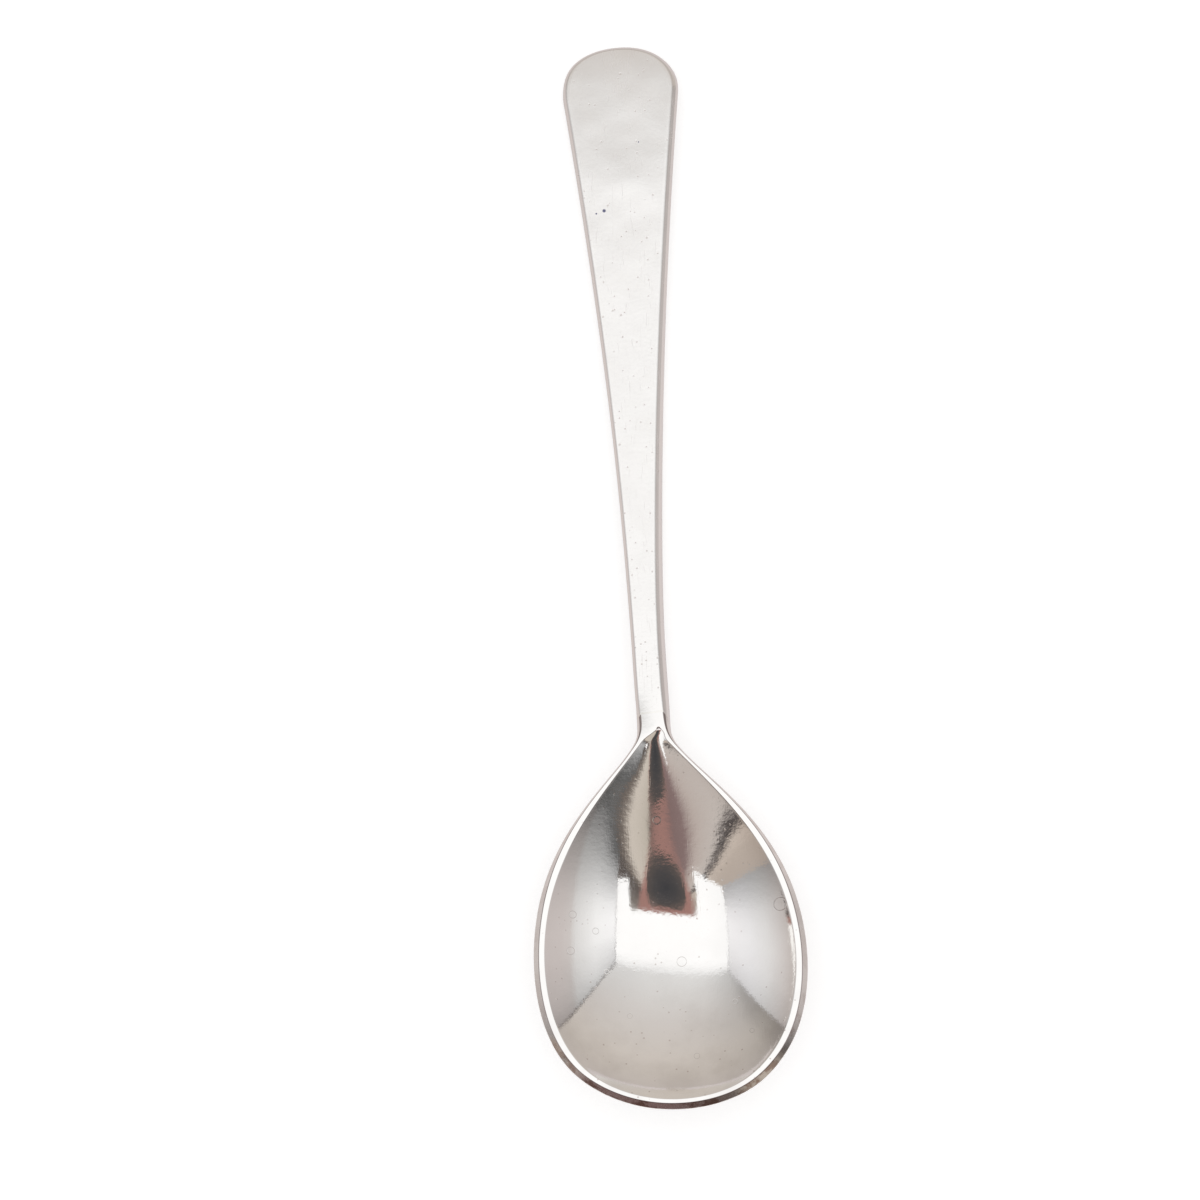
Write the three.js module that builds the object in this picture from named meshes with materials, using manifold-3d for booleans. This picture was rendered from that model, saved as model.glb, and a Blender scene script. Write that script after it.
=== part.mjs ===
// Salt spoon: a broad egg-shaped bowl, raised from sheet, with a forged handle soldered to its heel.
// Millimetres, +Z up. The spoon lies as on a table, on the bowl's belly and the handle's middle,
// with the handle towards +Y. The origin is on the table, under the middle of its bounding box.
//
// Every shape is first worked out in the bowl's own frame: the rim lies in z = 0, x runs across,
// and y runs from the bowl's tip (0) to the handle's end.
import * as THREE from 'three';
import Module from 'manifold-3d';
import { mergeVertices } from 'three/addons/utils/BufferGeometryUtils.js';

const { clamp, degToRad, lerp, smootherstep } = THREE.MathUtils;

// The whole spoon
const SPOON_LENGTH = 88;
const REST_FLAT_DEPTH = 0.12;      // worn flats where the belly and the handle meet the table
const STEEPEST_REST = degToRad(30);

// The bowl
const BOWL_LENGTH = 31.247;        // from the tip to where the egg outline would come to its point
const BOWL_WIDTH = 21.548;
const BOWL_SHARES = [1, 1.095, 1.325, 3.667];  // fullness of the egg, from tip to neck
const BOWL_POWER = 1.537;          // how sharply the egg outline runs to its point
const TIP_SHIFT = 0.237;           // the tip is a little to the right of the bowl's axis
const TIP_SHIFT_LENGTH = 4.13;
const BOWL_DEPTH = 4.28;           // inside, below the rim
const DEEPEST_SHARE = 0.43;        // where along the bowl it is deepest
const SHEET = 0.75;                // wall thickness
const SIDE_ROUND_SHARE = 0.742;    // how round the cross-sections are: 0 a parabola, 1 an ellipse
const TIP_ROUND_SHARE = 0.9;       // the same along the axis, towards the tip
const NECK_EASE_SHARE = 0.986;     // how gently the floor runs out to the neck: 0 a parabola

// The rim and the mouth inside it
const RIM_WIDTH = 0.845;           // at the bowl's sides
const TIP_RIM_WIDTH = 0.776;
const NECK_RIM_WIDTH = 0.765;      // between the mouth's end and the egg outline's point
const MOUTH_SHARES = [1, 0.628, 0.871, 0.139];  // fullness of the mouth, from tip to neck
const MOUTH_POWER = 0.5;           // below 1 the mouth's end is round
const MOUTH_SKEW = 0.42;           // the mouth's end is cut a little off the neck's middle
const MOUTH_SKEW_LENGTH = 1.1;
const EDGE_WIDTH = 0.45;           // the rounded outer part of the rim, beside the flat lip
const HEEL_EDGE_WIDTH = 0.24;
const EDGE_DROP = 0.42;

// The handle
const NECK_WIDTH = 2.71;
const NECK_THICKNESS = 1.9;
const NECK_LENGTH = 5.487;         // of even width, beyond the egg outline's point
const END_WIDTH = 10.785;          // where the two tapering sides would reach the end's tangent
const TAPER_POWER = 1.658;
const END_THICKNESS = 1.15;
const END_CAP_LENGTH = 4.508;      // the rounded end, a superellipse
const END_CAP_POWER = 2.117;
const END_SHIFT = 0.2;             // the rounded end leans a little to the left
const END_SHIFT_LENGTH = 4.21;
const BEVEL = 0.3;
const LOWER_BEVEL = 0.35;
const WALL_LEAN = 0.12;            // the side walls spread by this much below the bevel
const HANDLE_RISE = degToRad(7.4); // the face leaves the bowl level, then bends up to this slope
const RISE_POWER = 2;              // above 1 it bends most near the neck
const END_FALL = degToRad(5.6);    // the very end bends down again by this much
const FALL_POWER = 16;
const HANDLE_OFFSET = 0.743;       // the handle sits a little to the left of the bowl's axis
const OFFSET_START_SHARE = 0.22;   // where along the bowl that offset begins
const OFFSET_SETBACK = 15.62;      // and how far past the egg outline's point it is complete
const HANDLE_ROLL = degToRad(6);   // and leans to the left, with its right edge raised
const ROLL_LEAD = 1.77;            // the lean begins this far before the egg outline's point
const ROLL_LENGTH = 5;

// The scarf joint
const SCARF_SETBACK = 0.5;         // the seam comes out on the face this far past the egg's point
const SCARF_SLOPE = degToRad(36.7);
const SOLDER = 0.1;
const HEEL_LENGTH = 3.5;           // in which the rim's edge turns into the handle's bevel

// Counts of mesh steps, and the powers of the soft maximum
const BOWL_STATIONS = 32;
const HANDLE_STATIONS = 34;
const MOUTH_STATIONS = 32;
const ACROSS = 20;
const EDGE_STEPS = 3;
const PROFILE_SAMPLES = 400;
const HALVINGS = 40;
const OUTLINE_BLEND_POWER = 2.452;
const BELLY_BLEND_POWER = 4;

// Places along the spoon
const TIP_Y = 0;
const MOUTH_TIP_Y = TIP_Y + TIP_RIM_WIDTH;
const OFFSET_START_Y = TIP_Y + OFFSET_START_SHARE * BOWL_LENGTH;
const DEEPEST_Y = TIP_Y + DEEPEST_SHARE * BOWL_LENGTH;
const EGG_END_Y = TIP_Y + BOWL_LENGTH;
const MOUTH_END_Y = EGG_END_Y - NECK_RIM_WIDTH;
const ROLL_START_Y = EGG_END_Y - ROLL_LEAD;
const SCARF_TOP_Y = EGG_END_Y + SCARF_SETBACK;
const HEEL_START_Y = SCARF_TOP_Y - HEEL_LENGTH;
const TAPER_START_Y = EGG_END_Y + NECK_LENGTH;
const OFFSET_END_Y = EGG_END_Y + OFFSET_SETBACK;
const END_Y = TIP_Y + SPOON_LENGTH;
const END_SHIFT_START_Y = END_Y - END_SHIFT_LENGTH;
const SLOPE_STEP = SPOON_LENGTH / 10000;

// A soft maximum, so that the neck flows into the bowl
function blendMax(a, b, power) {
  return (a ** power + b ** power) ** (1 / power);
}

// The neck's share in the bowl's shape: none at the tip, all of it from the deepest place on
function neckShare(y) {
  return smootherstep(y, TIP_Y, DEEPEST_Y);
}

// Half the width of an outline that is round at the tip, and at the neck pointed (power 1 or more)
// or round (power 1/2). It is scaled so that its widest place measures `width`.
function makeOutline(startY, endY, width, [a, b, c, d], neckPower) {
  const fullness = (s) => {
    const r = 1 - s;
    const blend = a * r ** 3 + 3 * b * s * r ** 2 + 3 * c * s ** 2 * r + d * s ** 3;
    return Math.sqrt(s) * r ** neckPower * blend;
  };
  let widest = 0;
  for (let i = 0; i <= PROFILE_SAMPLES; i += 1) {
    widest = Math.max(widest, fullness(i / PROFILE_SAMPLES));
  }
  return (y) => width / 2 * fullness(clamp((y - startY) / (endY - startY), 0, 1)) / widest;
}

const eggHalf = makeOutline(TIP_Y, EGG_END_Y, BOWL_WIDTH, BOWL_SHARES, BOWL_POWER);
const mouthHalf = makeOutline(
  MOUTH_TIP_Y, MOUTH_END_Y, BOWL_WIDTH - 2 * RIM_WIDTH, MOUTH_SHARES, MOUTH_POWER);

// Half the width of the handle, and of the neck that runs on into the bowl
function barHalf(y) {
  const t = clamp((y - TAPER_START_Y) / (END_Y - TAPER_START_Y), 0, 1);
  const taper = lerp(NECK_WIDTH, END_WIDTH, t ** TAPER_POWER) / 2;
  const v = clamp((END_Y - y) / END_CAP_LENGTH, 0, 1);
  return taper * (1 - (1 - v) ** END_CAP_POWER) ** (1 / END_CAP_POWER);
}

function outlineHalf(y) {
  return blendMax(eggHalf(y), neckShare(y) * barHalf(y), OUTLINE_BLEND_POWER);
}

function barThickness(y) {
  return lerp(NECK_THICKNESS, END_THICKNESS, smootherstep(y, MOUTH_END_Y, END_Y));
}

// A dome's height: 1 in the middle (u = 0) and 0 at the edge (u = 1)
function dome(u, roundShare) {
  if (roundShare === 0) return 1 - u ** 2;
  const rest = Math.sqrt(1 - roundShare ** 2);
  return (Math.sqrt(1 - (roundShare * u) ** 2) - rest) / (1 - rest);
}

// Depth of the hollow along its axis. It is negative past the mouth's ends.
function hollowDepth(y) {
  if (y > DEEPEST_Y) {
    const t = (y - DEEPEST_Y) / (MOUTH_END_Y - DEEPEST_Y);
    return BOWL_DEPTH * (1 - t ** 2) / (1 + NECK_EASE_SHARE * t ** 2);
  }
  return BOWL_DEPTH * dome((DEEPEST_Y - y) / (DEEPEST_Y - MOUTH_TIP_Y), TIP_ROUND_SHARE);
}

// The cross-sections grow rounder towards the widest place
function sideRound(y) {
  return SIDE_ROUND_SHARE * Math.sqrt(eggHalf(y) / (BOWL_WIDTH / 2));
}

// Depth of the underside along the axis: the sheet under the hollow, and then the bar
function bellyDepth(y) {
  const slope = (hollowDepth(y + SLOPE_STEP) - hollowDepth(y - SLOPE_STEP)) / (2 * SLOPE_STEP);
  const shell = Math.max(hollowDepth(y) + SHEET * Math.hypot(1, slope), 0);
  return blendMax(shell, neckShare(y) * barThickness(y), BELLY_BLEND_POWER);
}

// 0 where the section is the bowl's, 1 where it is the handle's
function barShare(y) {
  return smootherstep(y, HEEL_START_Y, SCARF_TOP_Y);
}

function underDepth(x, y) {
  const across = clamp(Math.abs(x) / Math.max(outlineHalf(y), LOWER_BEVEL), 0, 1);
  const belly = Math.max(bellyDepth(y), EDGE_DROP);
  const shell = lerp(EDGE_DROP, belly, dome(across, sideRound(y)));
  return lerp(shell, barThickness(y), barShare(y));
}

// Height of the handle's face above the rim's plane
function faceHeight(y) {
  const length = END_Y - MOUTH_END_Y;
  const t = clamp((y - MOUTH_END_Y) / length, 0, 1);
  const up = t - (1 - (1 - t) ** (RISE_POWER + 1)) / (RISE_POWER + 1);
  const down = t ** (FALL_POWER + 1) / (FALL_POWER + 1);
  return length * (Math.tan(HANDLE_RISE) * up - Math.tan(END_FALL) * down);
}

// Moves a point of the straight spoon by the offsets to the side, the lean and the bend
function place(x, y, depth) {
  const shift = TIP_SHIFT * (1 - smootherstep(y, TIP_Y, TIP_Y + TIP_SHIFT_LENGTH))
    - HANDLE_OFFSET * smootherstep(y, OFFSET_START_Y, OFFSET_END_Y)
    - END_SHIFT * smootherstep(y, END_SHIFT_START_Y, END_Y);
  const roll = HANDLE_ROLL * smootherstep(y, ROLL_START_Y, ROLL_START_Y + ROLL_LENGTH);
  const pivot = barThickness(y) / 2;
  const above = pivot - depth;
  return [
    x * Math.cos(roll) - above * Math.sin(roll) + shift,
    y,
    x * Math.sin(roll) + above * Math.cos(roll) - pivot + faceHeight(y),
  ];
}

// Closed rings of points along the spoon, joined into one skin. A point that two rings or two
// sides share is added once, so the skin is closed as it is made.
class Skin {
  constructor() {
    this.positions = [];
    this.index = [];
  }

  add(point) {
    this.positions.push(...point);
    return this.positions.length / 3 - 1;
  }

  triangle(a, b, c) {
    if (a !== b && b !== c && c !== a) this.index.push(a, b, c);
  }

  join(ring, next) {
    ring.forEach((a, i) => {
      const after = (i + 1) % ring.length;
      this.triangle(a, next[i], next[after]);
      this.triangle(a, next[after], ring[after]);
    });
  }

  geometry() {
    const geometry = new THREE.BufferGeometry();
    geometry.setAttribute('position', new THREE.Float32BufferAttribute(this.positions, 3));
    geometry.setIndex(this.index);
    return geometry;
  }
}

// Places across a section from its right edge (1) to its left edge (-1), closer at the edges
const acrossShares = Array.from(
  { length: ACROSS + 1 }, (_, i) => Math.cos(Math.PI * i / ACROSS));

// Stations of the outline, closer together at both ends
function outlineStations() {
  const bowl = Array.from({ length: BOWL_STATIONS + 1 },
    (_, i) => lerp(SCARF_TOP_Y, TIP_Y, Math.sin(Math.PI / 2 * (1 - i / BOWL_STATIONS))));
  const handle = Array.from({ length: HANDLE_STATIONS },
    (_, i) => lerp(SCARF_TOP_Y, END_Y, Math.sin(Math.PI / 2 * (i + 1) / HANDLE_STATIONS)));
  return [...bowl, ...handle];
}

// The side of a section from the face down, as pairs of inset from the outline and depth:
// a quarter of an ellipse on the bowl, and a bevel with a leaning wall on the handle
function sideProfile(y) {
  const edge = lerp(EDGE_WIDTH, HEEL_EDGE_WIDTH, smootherstep(y, DEEPEST_Y, MOUTH_END_Y));
  const angles = Array.from({ length: EDGE_STEPS + 1 }, (_, k) => Math.PI / 2 * k / EDGE_STEPS);
  const rim = angles.map((a) => [edge * (1 - Math.sin(a)), EDGE_DROP * (1 - Math.cos(a))]);
  const bar = [
    [WALL_LEAN + BEVEL, 0],
    [WALL_LEAN + BEVEL / 2, BEVEL / 2],
    [WALL_LEAN, BEVEL],
    [0, barThickness(y) - LOWER_BEVEL],
  ];
  const share = barShare(y);
  return rim.map(([inset, depth], k) => {
    return [lerp(inset, bar[k][0], share), lerp(depth, bar[k][1], share)];
  });
}

// The whole spoon before it is hollowed and divided
function spoonBlank() {
  const outline = outlineStations().map((y) => new THREE.Vector2(outlineHalf(y), y));
  const last = outline.length - 1;
  outline[0].x = 0;
  outline[last].x = 0;
  const skin = new Skin();
  const rings = outline.map((point, j) => {
    const before = outline[Math.max(j - 1, 0)];
    const along = outline[Math.min(j + 1, last)].clone().sub(before).normalize();
    const outward = new THREE.Vector2(along.y, -along.x);
    if (j === 0) outward.set(0, -1);
    if (j === last) outward.set(0, 1);
    const inset = (distance) => point.clone().addScaledVector(outward, -distance);
    const side = sideProfile(point.y).map(([distance, depth]) => ({ at: inset(distance), depth }));
    const foot = inset(LOWER_BEVEL);
    const under = acrossShares.map((u) => [u * foot.x, foot.y, underDepth(u * foot.x, foot.y)]);
    if (j === 0 || j === last) {
      const chain = side.map(({ at, depth }) => skin.add(place(0, at.y, depth)));
      const heel = skin.add(place(...under[0]));
      return [
        ...acrossShares.map(() => chain[0]),
        ...chain.slice(1),
        ...acrossShares.map(() => heel),
        ...chain.slice(1).reverse(),
      ];
    }
    const edge = side[0];
    const face = acrossShares.map((u) => skin.add(place(u * edge.at.x, edge.at.y, edge.depth)));
    const wall = side.slice(1);
    const left = wall.map(({ at, depth }) => skin.add(place(-at.x, at.y, depth)));
    const bottom = under.map((p) => skin.add(place(...p))).reverse();
    const right = wall.map(({ at, depth }) => skin.add(place(at.x, at.y, depth))).reverse();
    return [...face, ...left, ...bottom, ...right];
  });
  rings.slice(1).forEach((ring, j) => skin.join(rings[j], ring));
  return skin.geometry();
}

// The space inside the bowl, with a lid above the rim
function hollow() {
  const skin = new Skin();
  const rings = Array.from({ length: MOUTH_STATIONS + 1 }, (_, j) => {
    const y = lerp(MOUTH_TIP_Y, MOUTH_END_Y, (1 - Math.cos(Math.PI * j / MOUTH_STATIONS)) / 2);
    const skew = MOUTH_SKEW * smootherstep(y, MOUTH_END_Y - MOUTH_SKEW_LENGTH, MOUTH_END_Y);
    if (j === 0 || j === MOUTH_STATIONS) {
      const floor = skin.add(place(skew, y, 0));
      const lid = skin.add(place(skew, y, -BOWL_DEPTH));
      return [...acrossShares.map(() => lid), ...acrossShares.map(() => floor)];
    }
    const across = acrossShares.map((u) => u * mouthHalf(y) + skew);
    const lid = across.map((x) => skin.add(place(x, y, -BOWL_DEPTH)));
    const floor = acrossShares.map((u, i) => {
      return skin.add(place(across[i], y, hollowDepth(y) * dome(Math.abs(u), sideRound(y))));
    });
    return [...lid, ...floor.reverse()];
  });
  rings.slice(1).forEach((ring, j) => skin.join(rings[j], ring));
  return skin.geometry();
}

const wasm = await Module();
wasm.setup();

function toSolid(geometry) {
  return new wasm.Manifold(new wasm.Mesh({
    numProp: 3,
    vertProperties: Float32Array.from(geometry.attributes.position.array),
    triVerts: Uint32Array.from(geometry.index.array),
  }));
}

function toGeometry(solid) {
  const mesh = solid.getMesh();
  const geometry = new THREE.BufferGeometry();
  geometry.setAttribute('position', new THREE.Float32BufferAttribute(mesh.vertProperties, 3));
  geometry.setIndex(Array.from(mesh.triVerts));
  geometry.computeVertexNormals();
  return geometry;
}

// A block that fills everything below a plane through a point, with the plane's normal upwards
function blockBelow(point, normal) {
  const size = 3 * SPOON_LENGTH;
  const block = new THREE.BoxGeometry(size, size, size);
  block.deleteAttribute('normal');
  block.deleteAttribute('uv');
  const turn = new THREE.Quaternion().setFromUnitVectors(new THREE.Vector3(0, 0, 1), normal);
  const centre = point.clone().addScaledVector(normal, -size / 2);
  return toSolid(mergeVertices(block).applyQuaternion(turn).translate(centre.x, centre.y, centre.z));
}

// The lowest point of a geometry between two places along the spoon, once it is pitched
function lowest(geometry, pitch, fromY, toY) {
  const { array } = geometry.attributes.position;
  let low = Infinity;
  for (let i = 0; i < array.length; i += 3) {
    const [, y, z] = array.slice(i, i + 3);
    if (y >= fromY && y <= toY) low = Math.min(low, z * Math.cos(pitch) + y * Math.sin(pitch));
  }
  return low;
}

// The pitch at which the belly and the handle touch the table together
function restingPitch(geometry) {
  let low = -STEEPEST_REST;
  let high = STEEPEST_REST;
  for (let i = 0; i < HALVINGS; i += 1) {
    const pitch = (low + high) / 2;
    const handle = lowest(geometry, pitch, TAPER_START_Y, END_Y);
    const belly = lowest(geometry, pitch, TIP_Y, EGG_END_Y);
    if (handle < belly) low = pitch;
    else high = pitch;
  }
  return (low + high) / 2;
}

const blank = spoonBlank();
const pitch = restingPitch(blank);
const drop = lowest(blank, pitch, TIP_Y, END_Y) + REST_FLAT_DEPTH;
const pose = new THREE.Matrix4().makeTranslation(0, 0, -drop)
  .multiply(new THREE.Matrix4().makeRotationX(pitch));

const upwards = new THREE.Vector3(0, 0, 1);
const spoon = toSolid(blank.applyMatrix4(pose))
  .subtract(toSolid(hollow().applyMatrix4(pose)))
  .subtract(blockBelow(new THREE.Vector3(), upwards));

// Two parallel cuts on a slant divide the spoon into the bowl, the solder and the handle
const seamTop = new THREE.Vector3(0, SCARF_TOP_Y, 0).applyMatrix4(pose);
const seamNormal = new THREE.Vector3(0, -Math.sin(SCARF_SLOPE), Math.cos(SCARF_SLOPE))
  .transformDirection(pose);
const solderBottom = seamTop.clone().addScaledVector(seamNormal, -SOLDER);
const belowSeam = blockBelow(seamTop, seamNormal);
const belowSolder = blockBelow(solderBottom, seamNormal);

function piece(name, solid, material) {
  const mesh = new THREE.Mesh(toGeometry(solid), material);
  mesh.name = name;
  return mesh;
}

const mirrorSilver = new THREE.MeshStandardMaterial({ color: 0xd9d6d3, metalness: 1, roughness: 0.06 });
const satinSilver = new THREE.MeshStandardMaterial({ color: 0xdedcd8, metalness: 1, roughness: 0.28 });
const solderSilver = new THREE.MeshStandardMaterial({ color: 0xcfccc6, metalness: 1, roughness: 0.35 });

const group = new THREE.Group();
group.add(
  piece('bowl', spoon.subtract(belowSeam), mirrorSilver),
  piece('solder_seam', spoon.intersect(belowSeam).subtract(belowSolder), solderSilver),
  piece('handle', spoon.intersect(belowSolder), satinSilver),
);

// The origin goes on the table, under the middle of the bounding box
const box = new THREE.Box3().setFromObject(group);
const middle = box.getCenter(new THREE.Vector3());
group.position.set(-middle.x, -middle.y, -box.min.z);

export default group;
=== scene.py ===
import math

import bmesh
import bpy
import numpy as np
from mathutils import Matrix, Vector


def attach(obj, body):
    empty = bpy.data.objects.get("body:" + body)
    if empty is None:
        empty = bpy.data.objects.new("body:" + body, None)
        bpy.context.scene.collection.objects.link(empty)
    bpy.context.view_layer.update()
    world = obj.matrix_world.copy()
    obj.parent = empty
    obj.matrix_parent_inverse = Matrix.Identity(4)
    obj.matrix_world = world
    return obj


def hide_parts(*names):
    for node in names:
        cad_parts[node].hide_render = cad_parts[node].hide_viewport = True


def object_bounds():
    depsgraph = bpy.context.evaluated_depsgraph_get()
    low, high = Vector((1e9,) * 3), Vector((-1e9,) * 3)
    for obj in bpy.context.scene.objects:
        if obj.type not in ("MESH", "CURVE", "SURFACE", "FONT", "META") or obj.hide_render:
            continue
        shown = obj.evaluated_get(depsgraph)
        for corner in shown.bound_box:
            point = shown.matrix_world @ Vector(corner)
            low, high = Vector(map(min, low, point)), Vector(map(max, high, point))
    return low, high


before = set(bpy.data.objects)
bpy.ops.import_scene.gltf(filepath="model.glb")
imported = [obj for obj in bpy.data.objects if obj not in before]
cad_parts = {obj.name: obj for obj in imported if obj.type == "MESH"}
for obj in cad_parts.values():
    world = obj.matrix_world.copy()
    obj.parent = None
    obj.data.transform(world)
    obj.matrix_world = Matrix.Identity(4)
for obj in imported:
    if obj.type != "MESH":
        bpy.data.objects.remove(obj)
cad_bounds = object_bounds()

# Every size here is in millimetres, in the spoon's own frame, and is turned to metres as a mesh is made.
# In that frame the bowl's tip is at y = 0, the handle runs along +Y and the lip lies at z = 0.
MM = 0.001

SPOON_LENGTH = 88.0
REST_FLAT_DEPTH = 0.12
STEEPEST_REST = math.radians(30)

BOWL_LENGTH = 31.247
BOWL_WIDTH = 21.548
BOWL_SHARES = (1, 1.095, 1.325, 3.667)
BOWL_POWER = 1.537
TIP_SHIFT = 0.237
TIP_SHIFT_LENGTH = 4.13
BOWL_DEPTH = 4.28
DEEPEST_SHARE = 0.43
SHEET = 0.75
SIDE_ROUND_SHARE = 0.742
TIP_ROUND_SHARE = 0.9
NECK_EASE_SHARE = 0.986
RIM_WIDTH = 0.845
TIP_RIM_WIDTH = 0.776
NECK_RIM_WIDTH = 0.765
MOUTH_SHARES = (1, 0.628, 0.871, 0.139)
MOUTH_POWER = 0.5
MOUTH_SKEW = 0.42
MOUTH_SKEW_LENGTH = 1.1
EDGE_WIDTH = 0.45
EDGE_DROP = 0.42

NECK_WIDTH = 2.71
NECK_THICKNESS = 1.9
NECK_LENGTH = 5.487
END_WIDTH = 10.785
TAPER_POWER = 1.658
END_THICKNESS = 1.15
END_CAP_LENGTH = 4.508
END_CAP_POWER = 2.117
END_SHIFT = 0.2
END_SHIFT_LENGTH = 4.21
BEVEL = 0.3
LOWER_BEVEL = 0.35
WALL_LEAN = 0.12
HANDLE_RISE = math.radians(7.4)
RISE_POWER = 2
END_FALL = math.radians(5.6)
FALL_POWER = 16
HANDLE_OFFSET = 0.743
OFFSET_START_SHARE = 0.22
OFFSET_SETBACK = 15.62
HANDLE_ROLL = math.radians(6)
ROLL_LEAD = 1.77
ROLL_LENGTH = 5.0

SCARF_SETBACK = 0.5
SCARF_SLOPE = math.radians(36.7)
SOLDER = 0.1
HEEL_LENGTH = 3.5
OUTLINE_BLEND_POWER = 2.452
BELLY_BLEND_POWER = 4

# How finely the visible surface is drawn, and the small roundings that the CAD model leaves out
LIP_POINTS = 22
HOLLOW_POINTS = 97
UNDER_POINTS = 81
EDGE_POINTS = 12
FOOT_POINTS = 10
BOWL_STATIONS = 240
HANDLE_STATIONS = 240
LIP_EDGE = 0.035
NECK_LIP_EDGE = 0.04
HEEL_EDGE_LOOK = 0.16
CORNER = 0.07
CORNER_POINTS = 5
CORNER_STUB = 0.1
LIP_GRADING = 1.5
RIM_SIDE_POINTS = 13
HEEL_EDGE_SETBACK = 1.5
NECK_ROUNDING_LENGTH = 2.5
SKEW_FADE_LENGTH = 4
# The dark line of painted shade along the mouth's inner edge: how far it reaches into the hollow, and where
# along the bowl it fades in
MOUTH_SHADE_WIDTH = 0.22
MOUTH_SHADE_START = 16.0
MOUTH_SHADE_END = 24.0
MOUTH_SAMPLES = 6001
OUTLINE_SAMPLES = 4001
SLOPE_STEP = 0.02
BELLY_STEP = 0.01
EDGE_SAMPLES = 401
CORNER_REACH = 0.45
HOLLOW_OVERRUN = 1.2
REST_ROUNDS = 50
BOX_MARGIN = 0.001

# Points nearer than this to a cutting plane count as lying on it, in metres
CUT_TOLERANCE = 1e-8

# Places just before the mouth's end that have a ring of their own, and the gap left for them
MOUTH_END_STEPS = [0.14, 0.09, 0.055, 0.03, 0.012, 0.003, 0.0]
MOUTH_END_GAP = (0.17, 0.03)

# Over this stretch before the mouth's end each ring leaves the mouth's nearest point for its own place
PARTNER_FADE = (3.2, 0.7)

# The rim's outer edge turns down twice: each turn's angle and where along the edge it happens
FIRST_TURN = (math.radians(46), 0, 0.14)
SECOND_TURN = (math.radians(44), 0.84, 1.0)
EDGE_PLACES = [0.03, 0.06, 0.1, 0.14, 0.3, 0.5, 0.7, 0.84, 0.9, 0.95, 0.98, 1.0]

TIP_Y = 0.0
MOUTH_TIP_Y = TIP_Y + TIP_RIM_WIDTH
OFFSET_START_Y = TIP_Y + OFFSET_START_SHARE * BOWL_LENGTH
DEEPEST_Y = TIP_Y + DEEPEST_SHARE * BOWL_LENGTH
EGG_END_Y = TIP_Y + BOWL_LENGTH
MOUTH_END_Y = EGG_END_Y - NECK_RIM_WIDTH
ROLL_START_Y = EGG_END_Y - ROLL_LEAD
SCARF_TOP_Y = EGG_END_Y + SCARF_SETBACK
HEEL_START_Y = SCARF_TOP_Y - HEEL_LENGTH
TAPER_START_Y = EGG_END_Y + NECK_LENGTH
OFFSET_END_Y = EGG_END_Y + OFFSET_SETBACK
END_Y = TIP_Y + SPOON_LENGTH

# The photograph's camera in the same frame, and its roll about its own line of sight
CAMERA_PLACE = (7.489, -35.857, 275.78)
CAMERA_TARGET = (-4.353, 41.415, 0.0)
CAMERA_ROLL = math.radians(-2.4042)
CAMERA_LENS = 106.067
CAMERA_SENSOR = 36.0
CAMERA_CLIP = 0.01

SILVER = (0.945, 0.93, 0.905, 1)
WARM_TARNISH = (0.36, 0.245, 0.2, 1)
GREY_TARNISH = (0.5, 0.46, 0.43, 1)

# The white tent that the photograph's reflections show, seen from the middle of the lip
TENT_ORIGIN_Y = 14.0
TENT_TURN = math.radians(4.356)
TENT_HEIGHT = 303.6
TENT_LEFT = -265.7
TENT_RIGHT = 211.9
TENT_FRONT = -88.3
TENT_BACK = 143.3
PORT_PLACE = (0.0, -44.0, 279.5)
PORT_HALF = (68.0, 33.0)
PORT_CORNER = 26.0
SLOT_OUTLINE = [
    (-118, TENT_FRONT), (-118, -22), (-112, -8), (-98, -2), (124, -2), (138, -8), (144, -22), (150, -58),
    (TENT_RIGHT, -60),
]
SLOT_COLOUR = (0.36, 0.2, 0.175, 1)
SLOT_RISE = (0.93, 0.955)
SEAM_SHARE = 0.02
SEAM_CORE = 0.4
SEAM_COLOUR = (0.16, 0.14, 0.135, 1)
LEFT_SEAMS = (0.4, 0.4)
RIGHT_SEAMS = (0.75, 0.9)
TABLE_LIFT = 0.02
TABLE_LIGHT = 0.9
CEILING_COLOUR = (1.07, 1.07, 1.07 * 1.01, 1)
WHITE = (1, 1, 1, 1)
FLOOR_COLOUR = (0.8, 0.8, 0.8, 1)
FLOOR_GLOW = 0.4
FLOOR_HALF = 1.5


def even(*stops):
    """Stops of plain grey, from pairs of place and level."""
    return [(place, (level, level, level)) for place, level in stops]


# The tent's colours. A stop's place is a share of the tent's height, counted from the lip's middle.
TENT_ALONG = (-0.3, 0.5)
TENT_ACROSS = (-0.9, 0.7)
TENT_UP = (-0.02, 1.0)
CEILING_ALONG = even((-0.3, 0.98), (-0.1, 1), (0.36, 1), (0.4, 0.96), (0.44, 0.86), (0.472, 0.74))
CEILING_ACROSS = even((-0.88, 0.955), (-0.5, 1), (0.5, 1), (0.7, 0.985))
BACK_UP = [
    (-0.02, (0.53, 0.48, 0.45)), (0.11, (0.56, 0.51, 0.47)), (0.24, (0.62, 0.57, 0.53)),
    (0.5, (0.64, 0.605, 0.585)), (0.68, (0.685, 0.665, 0.655)), (0.92, (0.75, 0.745, 0.745)),
    (1.0, (0.76, 0.755, 0.755)),
]
BACK_ACROSS = even((-0.85, 0.5), (-0.69, 0.6), (-0.55, 0.76), (-0.42, 0.82), (-0.2, 0.96), (0.0, 1),
                   (0.3, 1), (0.7, 0.93))
BACK_LEAN = 0.5
BACK_LEAN_START = 0.4
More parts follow.
